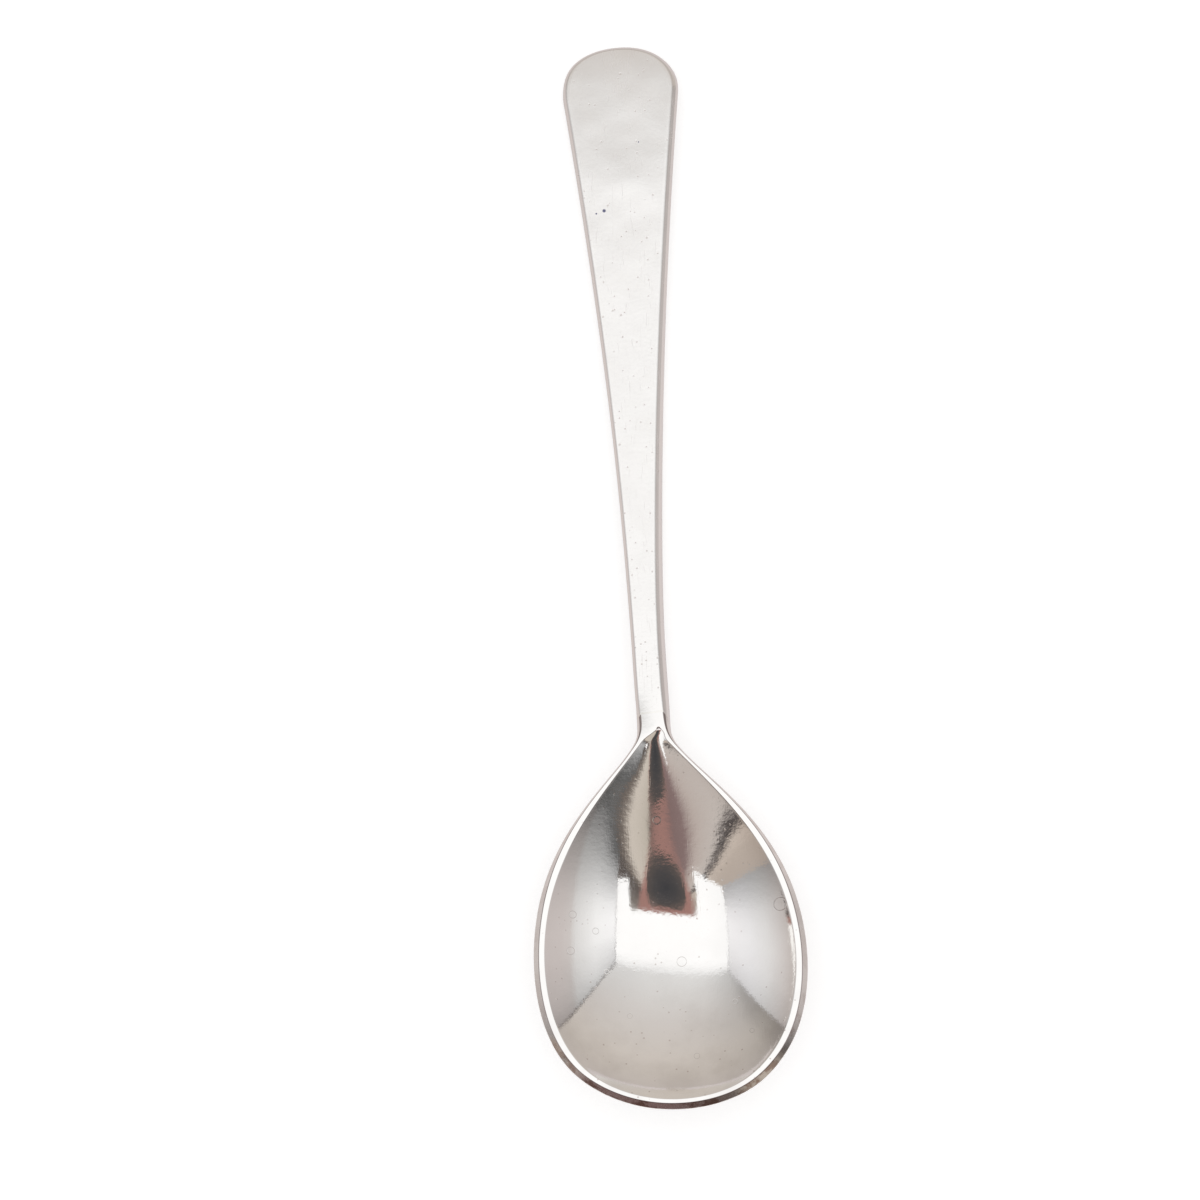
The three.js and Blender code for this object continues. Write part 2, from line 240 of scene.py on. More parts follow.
LEFT_UP = [
    (-0.02, (0.56, 0.51, 0.49)), (0.1, (0.64, 0.6, 0.59)), (0.33, (0.78, 0.77, 0.775)),
    (0.58, (0.88, 0.875, 0.9)), (0.9, (0.94, 0.93, 0.955)), (1.0, (0.95, 0.95, 0.97)),
]
LEFT_ALONG = even((-0.29, 0.46), (-0.18, 0.68), (-0.09, 0.88), (0.01, 0.97), (0.12, 1), (0.25, 0.95),
                  (0.33, 0.87), (0.4, 0.8), (0.47, 0.72))
RIGHT_UP = [
    (-0.02, (0.58, 0.53, 0.52)), (0.17, (0.61, 0.56, 0.55)), (0.27, (0.64, 0.6, 0.59)),
    (0.33, (0.75, 0.74, 0.74)), (0.6, (0.95, 0.95, 0.96)), (1.0, (1.0, 1.0, 1.02)),
]
RIGHT_ALONG = even((-0.27, 0.13), (-0.24, 0.3), (-0.19, 0.5), (-0.1, 0.74), (-0.04, 0.88), (0.02, 0.95),
                   (0.1, 1), (0.2, 0.98), (0.32, 0.84), (0.39, 0.74), (0.46, 0.6))
# The table as reflections show it: a dimmer glowing sheet just above the white floor, with painted shade
# that darkens away from the middle
TABLE_CENTRE = (0.0, 0.1)
TABLE_SPAN = (0.0, 0.8)
TABLE_FADE = [(0.05, (0.68, 0.62, 0.61)), (0.24, (0.6, 0.55, 0.54)), (0.5, (0.58, 0.53, 0.51))]
PORT_SPAN = (0.0, 1.4)
PORT_FADE = [
    (0.0, (0.05, 0.05, 0.055)), (0.6, (0.07, 0.066, 0.068)), (0.95, (0.1, 0.085, 0.08)),
    (1.2, (0.2, 0.14, 0.125)),
]

# Colours round the horizon through the tent's open front, by bearing in radians from straight ahead
ROOM_SPAN = (-1.6, 1.6)
ROOM_LOW = 0.5
ROOM_LOW_SHARE = 0.4
ROOM_LOW_COLOUR = (0.55, 0.5, 0.48, 1)
ROOM_BANDS = [
    (-1.5, (0.4, 0.35, 0.32)), (-1.14, (0.5, 0.43, 0.38)), (-1.1, (0.6, 0.52, 0.46)),
    (-1.075, (0.07, 0.06, 0.06)), (-1.055, (0.07, 0.06, 0.06)), (-1.03, (0.56, 0.51, 0.48)),
    (-0.9, (0.5, 0.43, 0.4)), (-0.72, (0.24, 0.17, 0.165)), (-0.1, (0.2, 0.13, 0.125)),
    (0.5, (0.13, 0.11, 0.1)), (0.66, (0.52, 0.47, 0.41)), (1.02, (0.62, 0.56, 0.5)),
    (1.1, (0.2, 0.17, 0.15)), (1.16, (0.1, 0.085, 0.08)), (1.5, (0.25, 0.22, 0.2)),
]

# Marks of use, as x, y and radius in the spoon's frame
DROP_RINGS = [
    (8.85, 15.76, 0.5), (0.79, 11.82, 0.38), (-0.62, 23.21, 0.3), (-7.91, 12.96, 0.3),
    (-7.63, 15.83, 0.28), (-5.92, 14.51, 0.24), (1.67, 4.13, 0.22), (-3.5, 7.6, 0.2), (4.9, 8.3, 0.2),
    (-5.2, 11.2, 0.18), (6.1, 5.9, 0.17),
]
RING_WIDTH = 0.05
HANDLE_SPECKS = [(-2.53, 74.26, 0.18), (-3.2, 74.07, 0.09), (2.9, 55.3, 0.07), (0.6, 79.9, 0.07)]

# The silver's patterns, with places in metres and scales per metre. A noise is its scale, detail and
# roughness, a step is the values it runs between and its two results, a pit kind is its scale, radius and
# the share kept, and a scratch kind is its turn, its scales across and along, and its step. Heights count
# in the material's bump depth, which is in metres.
BEND_SCALE = 260.0
BEND = 0.0009
STREAK_ROUGHNESS = 0.3
PIT_CORE = 0.4
# Where the crease share turns into a dark line of painted shade, and how much of that line's colour it takes
CREASE_START = 0.55
CREASE_SHADE_SHARE = 0.8
# The colour of the dark line of painted shade along the bowl's creases
BOWL_EDGE_SHADE = (0.2, 0.15, 0.14, 1)
BOWL_PITS = [(2300.0, 0.24, 0.16), (760.0, 0.085, 0.2)]
BOWL_PIT_FADE = (-0.04, -0.024, 1.0, 0.35)
BOWL_PIT_SHARE = 0.42
RING_SHARE = 0.3
CLOUD_NOISE = (330.0, 4.0, 0.6)
CLOUD_RANGE = (0.4, 0.72)
CLOUD_FADE = (-0.044, -0.028, 0.2, 0.04)
# The bowl turns a little greyer towards its neck end
NECK_GREYING = (-0.0145, -0.0125, 0.0, 0.05)
WEAR_NOISE = (520.0, 4.0, 0.65)
WEAR_RANGE = (0.46, 0.6, 0.25, 1.0)
TIP_RANGE = (-0.0435, -0.0335)
TIP_WEAR = 0.75
RIM_WEAR = 0.16
BOWL_ROUGH_NOISE = (900.0, 3.0)
BOWL_ROUGH = (0.35, 0.7, 0.035, 0.075)
EDGE_DULL = 0.8
MARK_ROUGH = 0.16
PIT_ROUGH = 0.2
BOWL_SCRATCHES = [(0.7, 9000.0, 420.0, 0.6, 0.78), (-1.1, 8000.0, 380.0, 0.62, 0.78)]
BOWL_GRAIN = (2600.0, 3.0, 0.6)
BOWL_GRAIN_HEIGHT = 1.1
BOWL_SCRATCH_HEIGHT = 0.16
BOWL_PIT_HEIGHT = 1.2
BOWL_WAVES = (240.0, 2.0)
BOWL_WAVE_HEIGHT = 4.0
BOWL_BUMP = 0.0000032

# The colour of the grey line of painted shade along the handle's creases, and how strong it is
HANDLE_EDGE_SHADE = (0.55, 0.53, 0.52, 1)
HANDLE_CREASE_SHADE = 0.72
HANDLE_WEAR = 0.02
HANDLE_SCRATCHES = [
    (0.16, 11000.0, 340.0, 0.7, 0.84), (0.9, 10000.0, 520.0, 0.68, 0.82), (-0.7, 10000.0, 480.0, 0.68, 0.82),
]
HANDLE_PITS = [(1300.0, 0.17, 0.2), (2400.0, 0.22, 0.2)]
HANDLE_FILM_NOISE = (160.0, 3.0, 0.55)
HANDLE_FILM = (0.45, 0.8, 0.0, 0.03)
# The handle is a little greyer near the neck, fading out by its middle
HANDLE_NECK_GREYING = (-0.0135, 0.002, 0.05, 0.0)
HANDLE_SCRATCH_SHARE = 0.05
HANDLE_PIT_SHARE = 0.22
HANDLE_ROUGH_NOISE = (420.0, 3.0)
HANDLE_ROUGH = (0.35, 0.7, 0.19, 0.24)
HANDLE_NECK_SHINE = (-0.0135, 0.001, 0.3, 1.0)
HANDLE_MARK_ROUGH = 0.12
HANDLE_WAVES = (150.0, 1.5)
HANDLE_WAVE_HEIGHT = 44.0
WAVY_END = (0.018, 0.032)
CALM_WAVES = 0.25
HANDLE_GRAIN = (3000.0, 3.0, 0.6)
HANDLE_SCRATCH_HEIGHT = 0.8
HANDLE_PIT_HEIGHT = 1.5
HANDLE_BUMP = 0.0000045
SPECK_NOISE = 6000.0
SPECK_RAGGED = 0.00012
SPECK_CORE = 0.5
SPECK_SHARE = 0.85
SPECK_COLOUR = (0.03, 0.04, 0.16, 1)

SOLDER_LIGHT = (0.92, 0.9, 0.86, 1)
SOLDER_DARK = (0.88, 0.86, 0.81, 1)
SOLDER_TONE_NOISE = (900.0, 3.0)
SOLDER_TONE_RANGE = (0.35, 0.7)
SOLDER_ROUGH_NOISE = (1500.0, 2.0)
SOLDER_ROUGH = (0.3, 0.7, 0.05, 0.08)
SOLDER_GRAIN = (2500.0, 2.0)
SOLDER_BUMP = 0.000003


def lerp(a, b, t):
    return a + (b - a) * t


def smoother(x, low, high):
    t = np.clip((x - low) / (high - low), 0, 1)
    return t ** 3 * (t * (t * 6 - 15) + 10)


def blend_max(a, b, power):
    return (a ** power + b ** power) ** (1 / power)


def neck_share(y):
    return smoother(y, TIP_Y, DEEPEST_Y)


def make_outline(start, end, width, shares, neck_power):
    """Half width of an egg-shaped outline, by place along it."""
    a, b, c, d = shares

    def fullness(s):
        r = 1 - s
        blend = a * r ** 3 + 3 * b * s * r ** 2 + 3 * c * s ** 2 * r + d * s ** 3
        return np.sqrt(s) * r ** neck_power * blend

    widest = fullness(np.linspace(0, 1, OUTLINE_SAMPLES)).max()
    return lambda y: width / 2 * fullness(np.clip((y - start) / (end - start), 0, 1)) / widest


egg_half = make_outline(TIP_Y, EGG_END_Y, BOWL_WIDTH, BOWL_SHARES, BOWL_POWER)
mouth_half = make_outline(MOUTH_TIP_Y, MOUTH_END_Y, BOWL_WIDTH - 2 * RIM_WIDTH, MOUTH_SHARES, MOUTH_POWER)


def bar_half(y):
    """Half width of the bar that the handle is forged to."""
    t = np.clip((y - TAPER_START_Y) / (END_Y - TAPER_START_Y), 0, 1)
    taper = lerp(NECK_WIDTH, END_WIDTH, t ** TAPER_POWER) / 2
    v = np.clip((END_Y - y) / END_CAP_LENGTH, 0, 1)
    return taper * (1 - (1 - v) ** END_CAP_POWER) ** (1 / END_CAP_POWER)


def outline_half(y):
    return blend_max(egg_half(y), neck_share(y) * bar_half(y), OUTLINE_BLEND_POWER)


def bar_thickness(y):
    return lerp(NECK_THICKNESS, END_THICKNESS, smoother(y, MOUTH_END_Y, END_Y))


def dome(u, k):
    """An arch that falls from 1 in the middle to 0 at the side, rounder the larger k is."""
    k = np.maximum(k, 1e-4)
    rest = np.sqrt(1 - k ** 2)
    return (np.sqrt(np.maximum(1 - (k * u) ** 2, 0)) - rest) / (1 - rest)


def hollow_depth(y):
    """Depth of the bowl's hollow along its middle."""
    t = np.clip((y - DEEPEST_Y) / (MOUTH_END_Y - DEEPEST_Y), 0, HOLLOW_OVERRUN)
    to_neck = (1 - t ** 2) / (1 + NECK_EASE_SHARE * t ** 2)
    to_tip = dome((DEEPEST_Y - y) / (DEEPEST_Y - MOUTH_TIP_Y), TIP_ROUND_SHARE)
    return BOWL_DEPTH * np.where(y > DEEPEST_Y, to_neck, to_tip)


def side_round(y):
    return SIDE_ROUND_SHARE * np.sqrt(egg_half(y) / (BOWL_WIDTH / 2))


def belly_depth(y):
    """Depth of the underside along the bowl's middle."""
    slope = (hollow_depth(y + BELLY_STEP) - hollow_depth(y - BELLY_STEP)) / (2 * BELLY_STEP)
    shell = np.maximum(hollow_depth(y) + SHEET * np.hypot(1, slope), 0)
    return blend_max(shell, neck_share(y) * bar_thickness(y), BELLY_BLEND_POWER)


def bar_share(y):
    return smoother(y, HEEL_START_Y, SCARF_TOP_Y)


def bowl_under(x, y):
    """Depth of the bowl's underside at a place."""
    across = np.clip(np.abs(x) / np.maximum(outline_half(y), LOWER_BEVEL), 0, 1)
    belly = np.maximum(belly_depth(y), EDGE_DROP)
    return lerp(EDGE_DROP, belly, dome(across, side_round(y)))


def face_height(y):
    """Height of the handle's face: level at the neck, then rising, flatter near the end."""
    length = END_Y - MOUTH_END_Y
    t = np.clip((y - MOUTH_END_Y) / length, 0, 1)
    up = t - (1 - (1 - t) ** (RISE_POWER + 1)) / (RISE_POWER + 1)
    down = t ** (FALL_POWER + 1) / (FALL_POWER + 1)
    return length * (math.tan(HANDLE_RISE) * up - math.tan(END_FALL) * down)


def place(x, y, depth):
    """Points by their place across, their place along and their depth below the face."""
    shift = TIP_SHIFT * (1 - smoother(y, TIP_Y, TIP_Y + TIP_SHIFT_LENGTH))
    shift = shift - HANDLE_OFFSET * smoother(y, OFFSET_START_Y, OFFSET_END_Y)
    shift = shift - END_SHIFT * smoother(y, END_Y - END_SHIFT_LENGTH, END_Y)
    roll = HANDLE_ROLL * smoother(y, ROLL_START_Y, ROLL_START_Y + ROLL_LENGTH)
    pivot = bar_thickness(y) / 2
    above = pivot - depth
    return np.stack([
        x * np.cos(roll) - above * np.sin(roll) + shift,
        y + 0 * x,
        x * np.sin(roll) + above * np.cos(roll) - pivot + face_height(y),
    ], -1)


def mouth_skew(y):
    return MOUTH_SKEW * smoother(y, MOUTH_END_Y - MOUTH_SKEW_LENGTH, MOUTH_END_Y)


def hollow(x, y):
    """Depth of the hollow at a place inside the mouth."""
    half = np.maximum(mouth_half(y), 1e-9)
    return hollow_depth(y) * dome(np.abs(x - mouth_skew(y)) / half, side_round(y))


def soft_depth(h, e):
    """The depth where it is above zero and almost none elsewhere, rounded over about e."""
    return (h + np.sqrt(h * h + e * e)) / 2


def station_places():
    """Places along the spoon that have a ring of points, closest at its ends and at the mouth's end."""
    bowl_turns = np.pi / 2 * (1 - np.arange(BOWL_STATIONS + 1) / BOWL_STATIONS)
    handle_turns = np.pi / 2 * np.arange(1, HANDLE_STATIONS + 1) / HANDLE_STATIONS
    bowl = lerp(SCARF_TOP_Y, TIP_Y, np.sin(bowl_turns))
    handle = lerp(SCARF_TOP_Y, END_Y, np.sin(handle_turns))
    y = np.concatenate([bowl, handle])
    before, after = MOUTH_END_GAP
    y = y[(y < MOUTH_END_Y - before) | (y > MOUTH_END_Y + after)]
    return np.sort(np.concatenate([y, MOUTH_END_Y - np.array(MOUTH_END_STEPS)]))


def mouth_partners(px, py, last):
    """The place along the mouth nearest to each outline point, from its tip to its end."""
    tau = np.linspace(0, 1, MOUTH_SAMPLES)
    y = lerp(MOUTH_TIP_Y, MOUTH_END_Y, (1 - np.cos(np.pi * tau)) / 2)
    x = mouth_half(y)
    found = np.zeros(last + 1)
    for j in range(1, last):
        d = (x - px[j]) ** 2 + (y - py[j]) ** 2
        k = int(np.clip(d.argmin(), 1, len(tau) - 2))
        bend = d[k - 1] - 2 * d[k] + d[k + 1]
        found[j] = tau[k] + 0.5 * (d[k - 1] - d[k + 1]) / max(bend, 1e-12) * tau[1]
    near = lerp(MOUTH_TIP_Y, MOUTH_END_Y, (1 - np.cos(np.pi * np.clip(found, 0, 1))) / 2)
    same = smoother(py[:last + 1], MOUTH_END_Y - PARTNER_FADE[0], MOUTH_END_Y - PARTNER_FADE[1])
    out = lerp(near, np.minimum(py[:last + 1], MOUTH_END_Y), same)
    out[0] = MOUTH_TIP_Y
    out[last] = MOUTH_END_Y
    return out


def rounded(corners, radius, count):
    """Points along a chain of straight lines whose inner corners are rounded."""
    pts = [np.array(corners[0], float)]
    for a, b, c in zip(corners[:-2], corners[1:-1], corners[2:]):
        a, b, c = (np.array(p, float) for p in (a, b, c))
        r1 = min(radius, np.linalg.norm(b - a) * CORNER_REACH)
        r2 = min(radius, np.linalg.norm(c - b) * CORNER_REACH)
        p = b + (a - b) / np.linalg.norm(a - b) * r1
        q = b + (c - b) / np.linalg.norm(c - b) * r2
        for t in np.linspace(0, 1, count):
            pts.append((1 - t) ** 2 * p + 2 * t * (1 - t) * b + t * t * q)
    pts.append(np.array(corners[-1], float))
    return np.array(pts)


def rim_edge_shape():
    """Unit profile of the rim's outer edge: the lip turns down into a chamfer, and that into the wall."""
    s = np.linspace(0, 1, EDGE_SAMPLES)
    turn = sum(angle * smoother(s, start, end) for angle, start, end in (FIRST_TURN, SECOND_TURN))
    a = np.concatenate([[0], np.cumsum(np.cos((turn[1:] + turn[:-1]) / 2))])
    d = np.concatenate([[0], np.cumsum(np.sin((turn[1:] + turn[:-1]) / 2))])
    return np.interp(EDGE_PLACES, s, a / a[-1]), np.interp(EDGE_PLACES, s, d / d[-1])


EDGE_ACROSS, EDGE_DOWN = rim_edge_shape()
TIP_SLOPE = float(hollow_depth(MOUTH_TIP_Y + SLOPE_STEP)) / SLOPE_STEP
END_SLOPE = float(hollow_depth(MOUTH_END_Y - SLOPE_STEP)) / SLOPE_STEP


def side_chain(x, y, nx, ny):
    """The rim's edge width, its insets and depths down to the foot of the side, and the bar's chain."""
    edge = lerp(EDGE_WIDTH, HEEL_EDGE_LOOK, smoother(y, DEEPEST_Y, MOUTH_END_Y - HEEL_EDGE_SETBACK))
    foot_insets = LOWER_BEVEL * np.arange(1, FOOT_POINTS + 1) / FOOT_POINTS
    rim_inset = np.concatenate([edge * (1 - EDGE_ACROSS), foot_insets])
    fx, fy = x - nx * foot_insets, y - ny * foot_insets
    rim_depth = np.concatenate([EDGE_DROP * EDGE_DOWN, bowl_under(fx, fy)])
    th = bar_thickness(y)
    corners = [
        (WALL_LEAN + BEVEL + CORNER_STUB, 0), (WALL_LEAN + BEVEL, 0), (WALL_LEAN, BEVEL),
        (0, th - LOWER_BEVEL), (LOWER_BEVEL, th), (LOWER_BEVEL + CORNER_STUB, th),
    ]
    return edge, rim_inset, rim_depth, rounded(corners, CORNER, CORNER_POINTS)[1:-1]


def build_rings():
    """Points of the whole spoon in rings along it, with each point's share of crease, where a dark line of
    shade is painted, and of edge.
    """
    y = station_places()
    h = outline_half(y)
    h[0] = h[-1] = 0
    dy, dh = np.gradient(y), np.gradient(h)
    size = np.hypot(dy, dh)
    nx, ny = dy / size, -dh / size
    nx[0], ny[0], nx[-1], ny[-1] = 0, -1, 0, 1
    last = int(np.argmin(np.abs(y - MOUTH_END_Y)))
    mouth_y = mouth_partners(h, y, last)
    share = bar_share(y)
    points, creases, edges, rings = [], [], [], []
    total = 0
    lip_steps = np.linspace(0, 1, LIP_POINTS) ** LIP_GRADING
    # The crease marks carry the dark line of painted shade along the lip's edge and the side's top edge
    lip_crease = np.zeros(LIP_POINTS)
    lip_crease[-1] = 1
    side_crease = np.zeros(EDGE_POINTS + FOOT_POINTS)
    side_crease[:3] = 1
    side_edge = np.zeros(EDGE_POINTS + FOOT_POINTS)
    side_edge[:EDGE_POINTS + 2] = 1
    hollow_u = np.cos(np.pi * np.arange(HOLLOW_POINTS) / (HOLLOW_POINTS - 1))
    under_u = np.linspace(1, -1, UNDER_POINTS)
    n = len(y)
    for j in range(n):
        ends = j in (0, n - 1)
        edge, rim_inset, rim_depth, bar = side_chain(h[j], y[j], nx[j], ny[j])
        b = float(share[j])
        face_inset = lerp(edge, bar[0][0], b)
        bar = bar[1:]
        below = len(bar) - 1 - RIM_SIDE_POINTS
        k = np.concatenate([np.linspace(0, RIM_SIDE_POINTS, EDGE_POINTS + 1)[1:],
                            RIM_SIDE_POINTS + np.linspace(0, below, FOOT_POINTS + 1)[1:]])
        inset = lerp(rim_inset, np.interp(k, np.arange(len(bar)), bar[:, 0]), b)
        depth = lerp(rim_depth, np.interp(k, np.arange(len(bar)), bar[:, 1]), b)
        bx, by = h[j] - nx[j] * face_inset, y[j] - ny[j] * face_inset
        if j <= last:
            my = mouth_y[j]
            mh = float(mouth_half(np.array(my))) if 0 < j < last else 0.0
            skew = float(mouth_skew(my))
        else:
            my, mh = by, 0.0
            skew = MOUTH_SKEW * (1 - smoother(y[j], MOUTH_END_Y, MOUTH_END_Y + SKEW_FADE_LENGTH))
        neck = smoother(my, MOUTH_END_Y - NECK_ROUNDING_LENGTH, MOUTH_END_Y)
        rounding = lerp(LIP_EDGE, NECK_LIP_EDGE, neck)

        def lip(side):
            mx = skew + side * mh
            ex = side * bx
            x = lerp(mx, ex, lip_steps)
            yy = lerp(my, by, lip_steps)
            if j <= last:
                far = np.hypot(x - mx, yy - my)
                size = max(math.hypot(ex - mx, by - my), 1e-6)
                ix, iy = mx - (ex - mx) / size * SLOPE_STEP, my - (by - my) / size * SLOPE_STEP
                inside = float(hollow(np.array(ix), np.array(iy)))
                slope = max(inside / SLOPE_STEP, END_SLOPE)
                if j == 0:
                    slope = TIP_SLOPE
                elif j == last:
                    slope = END_SLOPE
            else:
                far = np.hypot(x - MOUTH_SKEW, yy - MOUTH_END_Y)
                slope = END_SLOPE
            return x, yy, soft_depth(-slope * far, rounding)

        def add(x, yy, d, crease=None, edge_mark=None):
            nonlocal total
            pts = place(np.asarray(x, float), np.asarray(yy, float), np.asarray(d, float))
            points.append(pts)
            creases.append(np.zeros(len(pts)) if crease is None else crease)
            edges.append(np.zeros(len(pts)) if edge_mark is None else edge_mark)
            ids = np.arange(total, total + len(pts))
            total += len(pts)
            return ids

        # The mouth's inner edge and the hollow just inside it get a dark line of painted shade, fading in
        # towards the neck
        dark = float(smoother(y[j], MOUTH_SHADE_START, MOUTH_SHADE_END)) if j <= last else 0.0
        lip_mark = lip_crease.copy()
        lip_mark[:2] = dark
        right_ids = add(*lip(1), lip_mark)
        if ends:
            left_ids = right_ids
        else:
            lx, ly, ld = lip(-1)
            if j < last:
                left_ids = add(lx, ly, ld, lip_mark)
            else:
                left_ids = np.concatenate([[right_ids[0]], add(lx[1:], ly[1:], ld[1:], lip_crease[1:])])
        if 0 < j < last:
            u = hollow_u[1:-1]
            x = u * mh + skew
            d = soft_depth(hollow_depth(my) * dome(np.abs(u), side_round(my)), rounding)
            near_edge = np.clip(1 - (1 - np.abs(u)) * mh / MOUTH_SHADE_WIDTH, 0, 1)
            inner = add(x, np.full_like(x, my), d, dark * near_edge)
            hollow_ids = np.concatenate([[right_ids[0]], inner, [left_ids[0]]])
        else:
            hollow_ids = np.full(HOLLOW_POINTS, right_ids[0])
        sx, sy = h[j] - nx[j] * inset, y[j] - ny[j] * inset
        if ends:
            sx = np.zeros_like(sx)
        side_r = add(sx, sy, depth, side_crease, side_edge)
        side_l = side_r if ends else add(-sx, sy, depth, side_crease, side_edge)
        fx, fy = sx[-1], sy[-1]
        if ends:
            under = np.full(UNDER_POINTS, side_r[-1])
        else:
            x = under_u[1:-1] * fx
            yy = np.full_like(x, fy)
            d = lerp(bowl_under(x, yy), bar_thickness(yy), bar_share(yy))
            under = np.concatenate([[side_r[-1]], add(x, yy, d), [side_l[-1]]])
        rings.append(np.concatenate([right_ids[::-1], hollow_ids[1:-1], left_ids, side_l,
                                     under[::-1][1:-1], side_r[::-1]]))
    return np.concatenate(points), np.concatenate(creases), np.concatenate(edges), rings


def join_rings(rings):
    """Faces between neighbouring rings, with points that coincide used once."""
    faces = []
    for a, b in zip(rings[:-1], rings[1:]):
        a2, b2 = np.roll(a, -1), np.roll(b, -1)
        for quad in np.stack([a, b, b2, a2], -1):
            corners = []
            for v in quad:
                if v not in corners:
                    corners.append(int(v))
            if len(corners) > 2:
                faces.append(corners)
    return faces


def tilted(points, angle):
    """Points turned about the X axis by an angle."""
    c, s = math.cos(angle), math.sin(angle)
    points = np.atleast_2d(points)
    x, y, z = points.T
    return np.stack([x, y * c - z * s, y * s + z * c], -1)


def rest_angle(points):
    """The tilt at which the bowl's belly and the handle's middle touch the table together."""
    bowl = points[points[:, 1] < SCARF_TOP_Y]
    handle = points[points[:, 1] > SCARF_TOP_Y]
    low, high = -STEEPEST_REST, STEEPEST_REST
    for _ in range(REST_ROUNDS):
        middle = (low + high) / 2
        if tilted(bowl, middle)[:, 2].min() > tilted(handle, middle)[:, 2].min():
            low = middle
        else:
            high = middle
    return (low + high) / 2


whole_points, whole_crease, whole_edge, whole_rings = build_rings()
REST_ANGLE = rest_angle(whole_points)
turned = tilted(whole_points, REST_ANGLE)
turned_low, turned_high = turned.min(0), turned.max(0)
REST_SHIFT = np.array([
    -(turned_low[0] + turned_high[0]) / 2,
    -(turned_low[1] + turned_high[1]) / 2,
    -turned_low[2] - REST_FLAT_DEPTH,
])
CAD_HALF = (np.array(cad_bounds[1]) - np.array(cad_bounds[0])) / 2 / MM


def at_rest(points):
    """Points of the spoon's own frame as they lie on the table, in millimetres of the row frame."""
    return tilted(points, REST_ANGLE) + REST_SHIFT


def in_box(points):
    """The same, drawn in by the few microns that keep the finer surface inside the CAD model's box."""
    half = (turned_high - turned_low) / 2
    points = at_rest(points)
    points[:, :2] *= np.minimum(1, (CAD_HALF[:2] - BOX_MARGIN) / half[:2])
    points[:, 2] = np.clip(points[:, 2], 0, 2 * CAD_HALF[2])
    return points


def make_whole():
    """One closed mesh of the spoon, with its marks and smooth normals kept for the pieces cut from it."""
    mesh = bpy.data.meshes.new("whole")
    mesh.from_pydata((in_box(whole_points) * MM).tolist(), [], join_rings(whole_rings))
    mesh.update()
    normals = np.zeros(3 * len(mesh.vertices))
    mesh.vertices.foreach_get("normal", normals)
    for name, kind, field, values in (
        ("crease", "FLOAT", "value", whole_crease),
        ("edge", "FLOAT", "value", whole_edge),
        ("smooth_normal", "FLOAT_VECTOR", "vector", normals),
    ):
        mesh.attributes.new(name, kind, "POINT").data.foreach_set(field, values)
    return mesh


def scarf_plane(below):
    """A point and a normal of the slanting joint's plane, that far below its top face."""
    normal = np.array([0, -math.sin(SCARF_SLOPE), math.cos(SCARF_SLOPE)])
    point = np.array([0, SCARF_TOP_Y, 0]) - normal * below
    return Vector(at_rest(point)[0] * MM), Vector(tilted(normal, REST_ANGLE)[0])


def cut_piece(name, whole, cuts):
    """The part of the whole mesh between planes, closed with flat faces, that rides on the root."""
    bm = bmesh.new()
    bm.from_mesh(whole)
    cap_mark = bm.faces.layers.int.new("cap")
    for (point, normal), keep_above in cuts:
        cut = bmesh.ops.bisect_plane(
            bm, geom=bm.verts[:] + bm.edges[:] + bm.faces[:], dist=CUT_TOLERANCE, plane_co=point,
            plane_no=normal, clear_outer=not keep_above, clear_inner=keep_above)
        border = [e for e in cut["geom_cut"] if isinstance(e, bmesh.types.BMEdge)]
        outward = -normal if keep_above else normal
        filled = bmesh.ops.triangle_fill(bm, use_beauty=True, edges=border, normal=outward)
        for face in filled["geom"]:
            if isinstance(face, bmesh.types.BMFace):
                face[cap_mark] = 1
                if (face.normal.dot(normal) > 0) == keep_above:
                    face.normal_flip()
    mesh = bpy.data.meshes.new(name)
    bm.to_mesh(mesh)
    bm.free()
    mesh.update()
    obj = bpy.data.objects.new(name, mesh)
    bpy.context.scene.collection.objects.link(obj)
    mesh.polygons.foreach_set("use_smooth", [True] * len(mesh.polygons))
    smooth = np.zeros(3 * len(mesh.vertices))
    mesh.attributes["smooth_normal"].data.foreach_get("vector", smooth)
    corners = np.zeros(len(mesh.loops), int)
    mesh.loops.foreach_get("vertex_index", corners)
    loop_normals = smooth.reshape(-1, 3)[corners]
    caps = np.zeros(len(mesh.polygons), int)
    mesh.attributes["cap"].data.foreach_get("value", caps)
    for index in np.nonzero(caps)[0]:
        face = mesh.polygons[index]
        loop_normals[face.loop_start:face.loop_start + face.loop_total] = face.normal
    loop_normals /= np.linalg.norm(loop_normals, axis=1, keepdims=True)
    mesh.normals_split_custom_set(loop_normals.tolist())
    for spent in ("smooth_normal", "cap"):
        mesh.attributes.remove(mesh.attributes[spent])
    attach(obj, "root")
    return obj


whole_mesh = make_whole()
upper_cut, lower_cut = scarf_plane(0), scarf_plane(SOLDER)
bowl = cut_piece("bowl_silver", whole_mesh, [(upper_cut, True)])
solder = cut_piece("solder_line", whole_mesh, [(upper_cut, False), (lower_cut, True)])
handle = cut_piece("handle_silver", whole_mesh, [(lower_cut, False)])
bpy.data.meshes.remove(whole_mesh)
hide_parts("bowl")
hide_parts("solder_seam")
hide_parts("handle")


